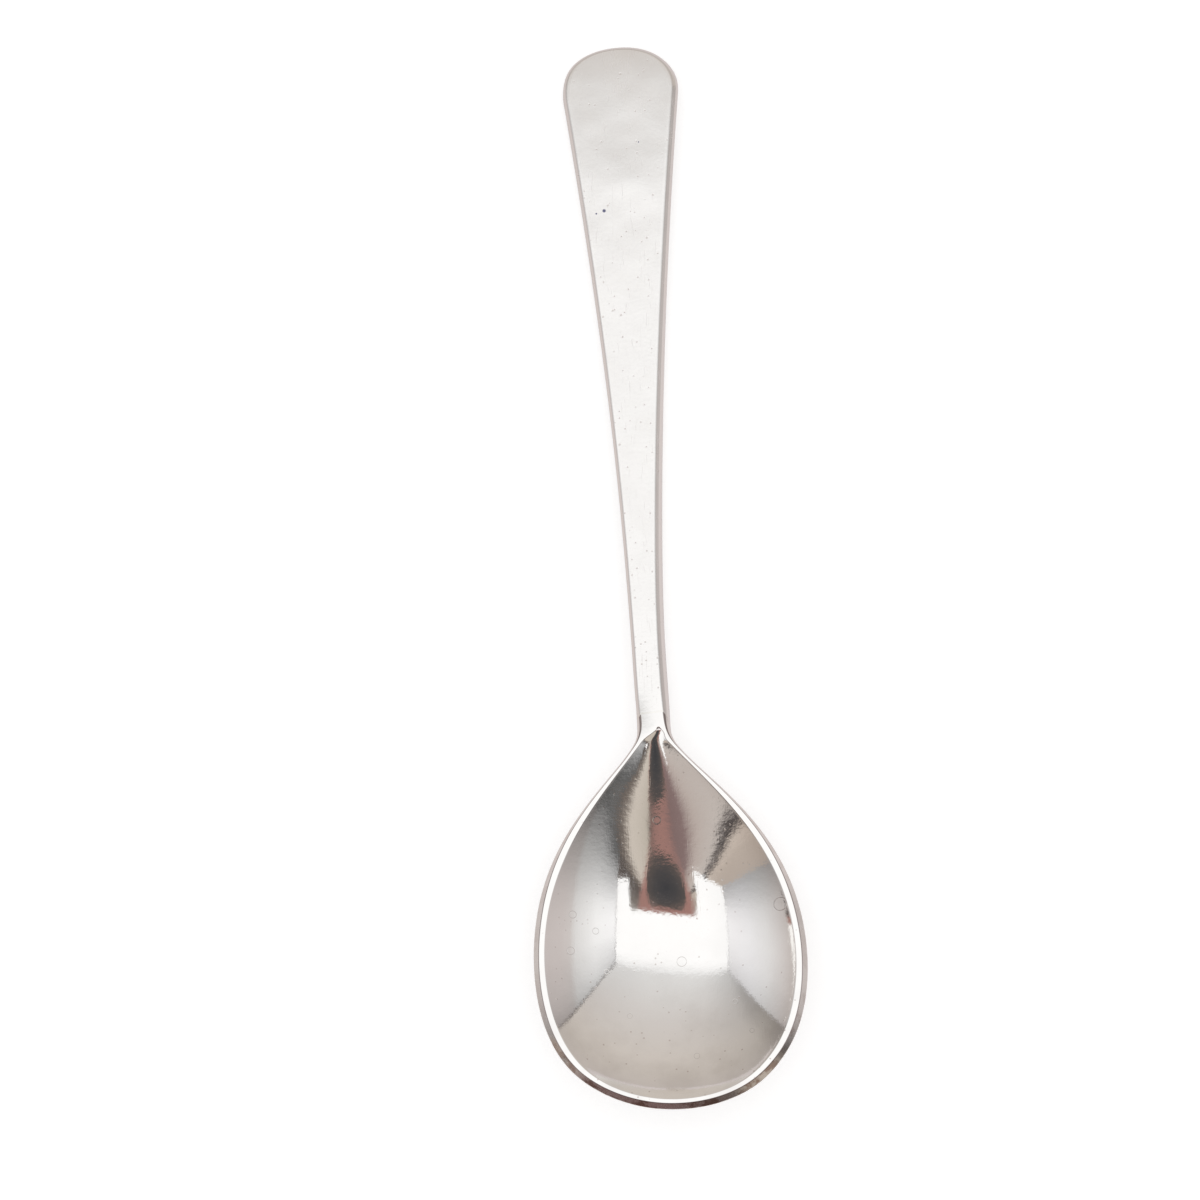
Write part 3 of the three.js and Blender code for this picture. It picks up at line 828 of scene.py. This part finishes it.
class Nodes:
    """Short calls for building a node tree. Inputs take numbers, colours or other nodes' outputs."""

    def __init__(self, tree):
        self.tree = tree
        tree.nodes.clear()

    def put(self, socket, value):
        if isinstance(value, bpy.types.NodeSocket):
            self.tree.links.new(value, socket)
        else:
            socket.default_value = value

    def add(self, kind, settings=None, inputs=None):
        node = self.tree.nodes.new(kind)
        for name, value in (settings or {}).items():
            setattr(node, name, value)
        for name, value in (inputs or {}).items():
            self.put(node.inputs[name], value)
        return node

    def math(self, operation, *values):
        return self.add("ShaderNodeMath", {"operation": operation}, dict(enumerate(values))).outputs[0]

    def vector(self, operation, a, b):
        node = self.add("ShaderNodeVectorMath", {"operation": operation}, {0: a, 1: b})
        return node.outputs["Value" if operation == "DISTANCE" else "Vector"]

    def step(self, value, low, high, to_low=0.0, to_high=1.0):
        """A smooth step of value between low and high."""
        node = self.add("ShaderNodeMapRange", {"interpolation_type": "SMOOTHSTEP"}, {
            "Value": value, "From Min": low, "From Max": high, "To Min": to_low, "To Max": to_high})
        return node.outputs["Result"]

    def mix(self, share, a, b):
        """The colour that goes from a to b with the share."""
        node = self.add("ShaderNodeMix", {"data_type": "RGBA"}, {0: share, 6: a, 7: b})
        return node.outputs[2]

    def ramp(self, value, stops):
        node = self.add("ShaderNodeValToRGB", inputs={0: value})
        elements = node.color_ramp.elements
        while len(elements) < len(stops):
            elements.new(0.5)
        for element, (place, colour) in zip(elements, stops):
            element.position = place
            element.color = colour if len(colour) == 4 else (*colour, 1)
        return node.outputs[0]

    def noise(self, place, scale, detail=2.0, roughness=0.5):
        node = self.add("ShaderNodeTexNoise", inputs={
            "Vector": place, "Scale": scale, "Detail": detail, "Roughness": roughness})
        return node.outputs["Fac"]

    def stretched(self, place, turn, scale):
        """The place turned about Z and scaled, for grain and scratches that run one way."""
        node = self.add("ShaderNodeMapping", inputs={
            "Vector": place, "Rotation": (0, 0, turn), "Scale": scale})
        return node.outputs[0]


def tent_matrix():
    """The tent's place, over the middle of the lip and turned a little to the spoon."""
    origin = at_rest(np.array([0, TENT_ORIGIN_Y, 0]))[0] * MM
    return Matrix.Translation(Vector(origin)) @ Matrix.Rotation(-TENT_TURN, 4, "Z")


def tent_card(name, corners, material):
    """A glowing sheet that only reflections show."""
    mesh = bpy.data.meshes.new(name)
    mesh.from_pydata((np.array(corners) * MM).tolist(), [], [tuple(range(len(corners)))])
    card = bpy.data.objects.new(name, mesh)
    card.matrix_world = tent_matrix()
    for ray in ("camera", "diffuse", "transmission", "volume_scatter", "shadow"):
        setattr(card, "visible_" + ray, False)
    mesh.materials.append(material)
    bpy.context.scene.collection.objects.link(card)


def tent_material(name, colour_of):
    """An emitter whose colour is worked out from the place in the tent, as shares of the tent's height."""
    material = bpy.data.materials.new(name)
    material.use_nodes = True
    material.cycles.emission_sampling = "NONE"
    n = Nodes(material.node_tree)
    place = n.add("ShaderNodeTexCoord").outputs["Object"]
    share = 1 / (TENT_HEIGHT * MM)
    scaled = n.vector("MULTIPLY", place, (share, share, share))
    x, y, z = n.add("ShaderNodeSeparateXYZ", inputs={0: scaled}).outputs
    glow = n.add("ShaderNodeEmission", inputs={"Color": colour_of(n, x, y, z), "Strength": 1.0})
    output = n.add("ShaderNodeOutputMaterial")
    n.tree.links.new(glow.outputs[0], output.inputs["Surface"])
    return material


def span_ramp(n, value, low, high, stops):
    """A ramp whose stops are given in the value's own units between low and high."""
    node = n.add("ShaderNodeMapRange", inputs={"Value": value, "From Min": low, "From Max": high})
    stops = [((place - low) / (high - low), colour) for place, colour in stops]
    return n.ramp(node.outputs["Result"], stops)


def times(n, a, b):
    """Two colours multiplied."""
    node = n.add("ShaderNodeMix", {"data_type": "RGBA", "blend_type": "MULTIPLY"}, {0: 1.0, 6: a, 7: b})
    return node.outputs[2]


def seam(n, value, place, colour, dark):
    """The colour with a thin darker line where the value passes a place."""
    off = n.math("ABSOLUTE", n.math("SUBTRACT", value, place))
    near = n.step(off, SEAM_SHARE * SEAM_CORE, SEAM_SHARE, 1.0, 0.0)
    return n.mix(n.math("MULTIPLY", near, dark), colour, SEAM_COLOUR)


def ceiling_colour(n, x, y, z):
    along = span_ramp(n, y, *TENT_ALONG, CEILING_ALONG)
    across = span_ramp(n, x, *TENT_ACROSS, CEILING_ACROSS)
    return times(n, times(n, along, across), CEILING_COLOUR)


def back_colour(n, x, y, z):
    up = span_ramp(n, z, *TENT_UP, BACK_UP)
    above = n.math("MAXIMUM", n.math("SUBTRACT", z, BACK_LEAN_START), 0.0)
    lean = n.math("ADD", x, n.math("MULTIPLY", above, BACK_LEAN))
    return times(n, up, span_ramp(n, lean, *TENT_ACROSS, BACK_ACROSS))


def side_colour(n, y, z, up, along, top_seam, back_seam):
    """A side wall's colour, with its seams to the ceiling and to the back wall."""
    colour = times(n, span_ramp(n, z, *TENT_UP, up), span_ramp(n, y, *TENT_ALONG, along))
    colour = seam(n, z, 1.0, colour, top_seam)
    return seam(n, y, TENT_BACK / TENT_HEIGHT, colour, back_seam)


def left_colour(n, x, y, z):
    return side_colour(n, y, z, LEFT_UP, LEFT_ALONG, *LEFT_SEAMS)


def right_colour(n, x, y, z):
    return side_colour(n, y, z, RIGHT_UP, RIGHT_ALONG, *RIGHT_SEAMS)


def far_from(n, x, y, centre, half):
    """How far a place lies from a centre, as a share of the half sizes."""
    across = n.math("DIVIDE", n.math("SUBTRACT", x, centre[0]), half[0])
    along = n.math("DIVIDE", n.math("SUBTRACT", y, centre[1]), half[1])
    return n.math("SQRT", n.math("ADD", n.math("POWER", across, 2.0), n.math("POWER", along, 2.0)))


def shaded_table_colour(n, x, y, z):
    return span_ramp(n, far_from(n, x, y, TABLE_CENTRE, (1.0, 1.0)), *TABLE_SPAN, TABLE_FADE)


def port_colour(n, x, y, z):
    centre = [value / TENT_HEIGHT for value in PORT_PLACE[:2]]
    half = [value / TENT_HEIGHT for value in PORT_HALF]
    return span_ramp(n, far_from(n, x, y, centre, half), *PORT_SPAN, PORT_FADE)


def rounded_box(centre, half, radius, height, steps=8):
    """Corners of a level box with rounded corners."""
    corners = []
    for quarter, (sx, sy) in enumerate(((1, 1), (-1, 1), (-1, -1), (1, -1))):
        for k in range(steps + 1):
            turn = math.pi / 2 * (quarter + k / steps)
            corners.append((centre[0] + sx * (half[0] - radius) + radius * math.cos(turn),
                            centre[1] + sy * (half[1] - radius) + radius * math.sin(turn), height))
    return corners


def make_tent():
    """The white tent round the spoon, open at the front, with a slot and the camera's port above."""
    foot = -at_rest(np.array([0, TENT_ORIGIN_Y, 0]))[0][2]
    low = foot + TABLE_LIFT
    top, left, right, front, back = TENT_HEIGHT, TENT_LEFT, TENT_RIGHT, TENT_FRONT, TENT_BACK
    slot = [(x, y, top) for x, y in SLOT_OUTLINE]
    cards = (
        ("tent_ceiling", ceiling_colour,
         [(left, front, top), *slot, (right, front, top), (right, back, top), (left, back, top)]),
        # A dim sheet over the white floor that paints the table's shade into reflections
        ("tent_table_shade", shaded_table_colour,
         [(left, front, low), (right, front, low), (right, back, low), (left, back, low)]),
        ("tent_back", back_colour,
         [(left, back, foot), (right, back, foot), (right, back, top), (left, back, top)]),
        ("tent_left", left_colour,
         [(left, front, foot), (left, back, foot), (left, back, top), (left, front, top)]),
        ("tent_right", right_colour,
         [(right, front, foot), (right, back, foot), (right, back, top), (right, front, top)]),
        ("camera_port", port_colour, rounded_box(PORT_PLACE, PORT_HALF, PORT_CORNER, PORT_PLACE[2])),
    )
    for name, colour_of, corners in cards:
        tent_card(name, corners, tent_material(name, colour_of))


def make_world():
    """White behind the spoon, a plain light on the table, and the dim room beyond the tent's front."""
    world = bpy.data.worlds.new("room")
    world.use_nodes = True
    n = Nodes(world.node_tree)
    direction = n.add("ShaderNodeTexCoord").outputs["Generated"]
    turned = n.stretched(direction, TENT_TURN, (1, 1, 1))
    x, y, z = n.add("ShaderNodeSeparateXYZ", inputs={0: turned}).outputs
    bearing = n.math("ARCTAN2", x, n.math("MULTIPLY", y, -1.0))
    room = span_ramp(n, bearing, *ROOM_SPAN, ROOM_BANDS)
    low = n.step(z, 0.0, ROOM_LOW, ROOM_LOW_SHARE, 0.0)
    room = times(n, room, n.mix(low, WHITE, ROOM_LOW_COLOUR))
    room = n.mix(n.step(z, *SLOT_RISE), room, SLOT_COLOUR)
    seen = n.add("ShaderNodeLightPath").outputs
    colour = n.mix(seen["Is Glossy Ray"], (TABLE_LIGHT, TABLE_LIGHT, TABLE_LIGHT, 1), room)
    colour = n.mix(seen["Is Camera Ray"], colour, WHITE)
    shader = n.add("ShaderNodeBackground", inputs={"Color": colour, "Strength": 1.0})
    output = n.add("ShaderNodeOutputWorld")
    n.tree.links.new(shader.outputs[0], output.inputs["Surface"])
    bpy.context.scene.world = world


def make_floor():
    """A plain white table that keeps the spoon's faint shadow."""
    bm = bmesh.new()
    bmesh.ops.create_grid(bm, x_segments=2, y_segments=2, size=FLOOR_HALF)
    mesh = bpy.data.meshes.new("floor")
    bm.to_mesh(mesh)
    bm.free()
    floor = bpy.data.objects.new("floor", mesh)
    bpy.context.scene.collection.objects.link(floor)
    material = bpy.data.materials.new("white_table")
    material.use_nodes = True
    n = Nodes(material.node_tree)
    seen = n.add("ShaderNodeLightPath").outputs
    shown = n.math("MAXIMUM", n.math("MAXIMUM", seen["Is Camera Ray"], seen["Is Glossy Ray"]),
                   seen["Is Transmission Ray"])
    lit = n.add("ShaderNodeBsdfDiffuse", inputs={"Color": FLOOR_COLOUR})
    strength = n.math("MULTIPLY", shown, FLOOR_GLOW)
    glow = n.add("ShaderNodeEmission", inputs={"Color": WHITE, "Strength": strength})
    both = n.add("ShaderNodeAddShader")
    n.put(both.inputs[0], lit.outputs[0])
    n.put(both.inputs[1], glow.outputs[0])
    output = n.add("ShaderNodeOutputMaterial")
    n.tree.links.new(both.outputs[0], output.inputs["Surface"])
    mesh.materials.append(material)


def largest(n, values):
    """The largest of several values."""
    top = values[0]
    for value in values[1:]:
        top = n.math("MAXIMUM", top, value)
    return top


def start_silver(name):
    """A metal material with its place, its crease and edge shares, its shader and its output."""
    material = bpy.data.materials.new(name)
    material.use_nodes = True
    n = Nodes(material.node_tree)
    place = n.add("ShaderNodeTexCoord").outputs["Object"]
    crease = n.add("ShaderNodeAttribute", {"attribute_name": "crease"}).outputs["Fac"]
    edge = n.add("ShaderNodeAttribute", {"attribute_name": "edge"}).outputs["Fac"]
    shader = n.add("ShaderNodeBsdfPrincipled", inputs={"Metallic": 1.0})
    output = n.add("ShaderNodeOutputMaterial")
    n.tree.links.new(shader.outputs[0], output.inputs["Surface"])
    return material, n, place, crease, edge, shader


def add_bump(n, shader, height, depth):
    bump = n.add("ShaderNodeBump", inputs={"Height": height, "Distance": depth, "Strength": 1.0})
    n.tree.links.new(bump.outputs[0], shader.inputs["Normal"])


def scratches(n, place, turn, across, along, low, high):
    """Thin streaks that run one way, a little bent."""
    noise = n.add("ShaderNodeTexNoise", inputs={"Vector": place, "Scale": BEND_SCALE, "Detail": 1.0})
    bent = n.vector("ADD", place, n.vector("MULTIPLY", noise.outputs["Color"], (BEND, BEND, 0.0)))
    grain = n.noise(n.stretched(bent, turn, (across, along, along)), 1.0, 1.0, STREAK_ROUGHNESS)
    return n.step(grain, low, high)


def pits(n, place, scale, radius, kept):
    """Small round pits at the cells of a cell pattern, of which only a share is kept."""
    cells = n.add("ShaderNodeTexVoronoi", {"feature": "F1"}, {"Vector": place, "Scale": scale})
    chosen = n.add("ShaderNodeSeparateColor", inputs={0: cells.outputs["Color"]}).outputs[0]
    spot = n.step(cells.outputs["Distance"], radius * PIT_CORE, radius, 1.0, 0.0)
    return n.math("MULTIPLY", spot, n.math("LESS_THAN", chosen, kept))


def far_over(n, flat, x, y):
    """The level distance from a place given in the spoon's own frame."""
    centre = at_rest(np.array([x, y, 0.0]))[0] * MM
    return n.vector("DISTANCE", flat, (float(centre[0]), float(centre[1]), 0.0))


def drop_rings(n, place):
    """Thin rings in the bowl where drops have dried."""
    flat = n.vector("MULTIPLY", place, (1, 1, 0))
    rings = []
    for x, y, radius in DROP_RINGS:
        off = n.math("ABSOLUTE", n.math("SUBTRACT", far_over(n, flat, x, y), radius * MM))
        rings.append(n.step(off, 0.0, RING_WIDTH * MM, 1.0, 0.0))
    return largest(n, rings)


def dark_specks(n, place):
    """Small ragged specks on the handle."""
    flat = n.vector("MULTIPLY", place, (1, 1, 0))
    specks = []
    for x, y, radius in HANDLE_SPECKS:
        ragged = n.math("SUBTRACT", n.noise(place, SPECK_NOISE), 0.5)
        far = n.math("ADD", far_over(n, flat, x, y), n.math("MULTIPLY", ragged, SPECK_RAGGED))
        specks.append(n.step(far, radius * MM * SPECK_CORE, radius * MM, 1.0, 0.0))
    return largest(n, specks)


def wear_and_painted_shade(n, colour, crease, edge, worn, shade_colour):
    """The colour with a dark line of painted shade along the creases and the wear on the outer edge."""
    colour = n.mix(n.math("MULTIPLY", edge, worn), colour, WARM_TARNISH)
    return n.mix(n.step(crease, CREASE_START, 1.0, 0.0, CREASE_SHADE_SHARE), colour, shade_colour)


def bowl_material():
    """Bright polished silver with fine scratches, pits and drop rings, and a worn outer edge."""
    material, n, place, crease, edge, shader = start_silver("polished_silver")
    along = n.add("ShaderNodeSeparateXYZ", inputs={0: place}).outputs[1]
    ring = drop_rings(n, place)
    pit = n.math("MAXIMUM", *(pits(n, place, *kind) for kind in BOWL_PITS))
    pit = n.math("MULTIPLY", pit, n.step(along, *BOWL_PIT_FADE))
    cloud = n.step(n.noise(place, *CLOUD_NOISE), *CLOUD_RANGE)
    film_and_neck_grey = n.math("MULTIPLY", cloud, n.step(along, *CLOUD_FADE))
    # Greyer towards the neck
    film_and_neck_grey = n.math("ADD", film_and_neck_grey, n.step(along, *NECK_GREYING))
    colour = n.mix(film_and_neck_grey, SILVER, GREY_TARNISH)
    colour = n.mix(n.math("MULTIPLY", pit, BOWL_PIT_SHARE), colour, WARM_TARNISH)
    colour = n.mix(n.math("MULTIPLY", ring, RING_SHARE), colour, GREY_TARNISH)
    spots = n.step(n.noise(place, *WEAR_NOISE), *WEAR_RANGE)
    near_tip = n.math("MULTIPLY", n.step(along, *TIP_RANGE, 1.0, 0.0), TIP_WEAR)
    worn = n.math("MULTIPLY", spots, n.math("ADD", near_tip, RIM_WEAR))
    # The creases get a dark line of painted shade, and the outer edge gets real wear
    n.put(shader.inputs["Base Color"], wear_and_painted_shade(n, colour, crease, edge, worn, BOWL_EDGE_SHADE))
    smooth = n.step(n.noise(place, *BOWL_ROUGH_NOISE), *BOWL_ROUGH)
    marked = largest(n, [n.math("MULTIPLY", edge, EDGE_DULL), crease, ring])
    rough = n.math("ADD", smooth, n.math("MULTIPLY", marked, MARK_ROUGH))
    n.put(shader.inputs["Roughness"], n.math("ADD", rough, n.math("MULTIPLY", pit, PIT_ROUGH)))
    lines = n.math("ADD", *(scratches(n, place, *kind) for kind in BOWL_SCRATCHES))
    grain = n.math("MULTIPLY", n.noise(place, *BOWL_GRAIN), BOWL_GRAIN_HEIGHT)
    height = n.math("SUBTRACT", grain, n.math("MULTIPLY", lines, BOWL_SCRATCH_HEIGHT))
    dents = n.math("MULTIPLY", n.math("ADD", ring, pit), BOWL_PIT_HEIGHT)
    height = n.math("SUBTRACT", height, dents)
    waves = n.math("MULTIPLY", n.noise(place, *BOWL_WAVES), BOWL_WAVE_HEIGHT)
    add_bump(n, shader, n.math("ADD", height, waves), BOWL_BUMP)
    return material


def handle_material():
    """Worn satin silver with hairlines every way, fine pits, slow waves and a few dark specks."""
    material, n, place, crease, edge, shader = start_silver("worn_silver")
    along = n.add("ShaderNodeSeparateXYZ", inputs={0: place}).outputs[1]
    speck = dark_specks(n, place)
    lines = largest(n, [scratches(n, place, *kind) for kind in HANDLE_SCRATCHES])
    pit = n.math("MAXIMUM", *(pits(n, place, *kind) for kind in HANDLE_PITS))
    film_and_neck_grey = n.step(n.noise(place, *HANDLE_FILM_NOISE), *HANDLE_FILM)
    # Greyer towards the neck
    film_and_neck_grey = n.math("ADD", film_and_neck_grey, n.step(along, *HANDLE_NECK_GREYING))
    colour = n.mix(film_and_neck_grey, SILVER, GREY_TARNISH)
    colour = n.mix(n.math("MULTIPLY", lines, HANDLE_SCRATCH_SHARE), colour, GREY_TARNISH)
    colour = n.mix(n.math("MULTIPLY", pit, HANDLE_PIT_SHARE), colour, WARM_TARNISH)
    # The creases get a grey line of painted shade, and the edges get a trace of real wear
    crease = n.math("MULTIPLY", crease, HANDLE_CREASE_SHADE)
    colour = wear_and_painted_shade(n, colour, crease, edge, HANDLE_WEAR, HANDLE_EDGE_SHADE)
    colour = n.mix(n.math("MULTIPLY", speck, SPECK_SHARE), colour, SPECK_COLOUR)
    n.put(shader.inputs["Base Color"], colour)
    rough = n.step(n.noise(place, *HANDLE_ROUGH_NOISE), *HANDLE_ROUGH)
    rough = n.math("MULTIPLY", rough, n.step(along, *HANDLE_NECK_SHINE))
    marks = n.math("MULTIPLY", largest(n, [lines, pit, speck]), HANDLE_MARK_ROUGH)
    n.put(shader.inputs["Roughness"], n.math("ADD", rough, marks))
    waves = n.math("MULTIPLY", n.noise(place, *HANDLE_WAVES), HANDLE_WAVE_HEIGHT)
    at_end = n.math("MULTIPLY", n.step(along, *WAVY_END), 1 - CALM_WAVES)
    waves = n.math("MULTIPLY", waves, n.math("ADD", at_end, CALM_WAVES))
    height = n.math("ADD", waves, n.noise(place, *HANDLE_GRAIN))
    height = n.math("SUBTRACT", height, n.math("MULTIPLY", lines, HANDLE_SCRATCH_HEIGHT))
    height = n.math("SUBTRACT", height, n.math("MULTIPLY", pit, HANDLE_PIT_HEIGHT))
    add_bump(n, shader, height, HANDLE_BUMP)
    return material


def solder_material():
    """The solder's line, a shade yellower than the silver and as smooth."""
    material, n, place, _, _, shader = start_silver("silver_solder")
    tone = n.step(n.noise(place, *SOLDER_TONE_NOISE), *SOLDER_TONE_RANGE)
    n.put(shader.inputs["Base Color"], n.mix(tone, SOLDER_LIGHT, SOLDER_DARK))
    n.put(shader.inputs["Roughness"], n.step(n.noise(place, *SOLDER_ROUGH_NOISE), *SOLDER_ROUGH))
    add_bump(n, shader, n.noise(place, *SOLDER_GRAIN), SOLDER_BUMP)
    return material


def make_camera():
    """The photograph's camera, tilted and moved with the spoon as it lies on the table."""
    place = np.array(CAMERA_PLACE)
    forward = np.array(CAMERA_TARGET) - place
    forward /= np.linalg.norm(forward)
    right = np.cross(forward, (0, 1, 0))
    right /= np.linalg.norm(right)
    up = np.cross(right, forward)
    c, s = math.cos(CAMERA_ROLL), math.sin(CAMERA_ROLL)
    right, up = c * right + s * up, c * up - s * right
    axes = tilted(np.array([right, up, -forward]), REST_ANGLE)
    matrix = Matrix.Identity(4)
    for column, axis in enumerate(axes):
        for row in range(3):
            matrix[row][column] = axis[row]
    for row, value in enumerate(at_rest(place)[0] * MM):
        matrix[row][3] = value
    data = bpy.data.cameras.new("camera")
    data.sensor_width = CAMERA_SENSOR
    data.lens = CAMERA_LENS
    data.clip_start = CAMERA_CLIP
    camera = bpy.data.objects.new("camera", data)
    camera.matrix_world = matrix
    bpy.context.scene.collection.objects.link(camera)
    bpy.context.scene.camera = camera


bowl.data.materials.append(bowl_material())
solder.data.materials.append(solder_material())
handle.data.materials.append(handle_material())
make_world()
make_tent()
make_floor()
make_camera()
bpy.context.scene.view_settings.view_transform = "Standard"
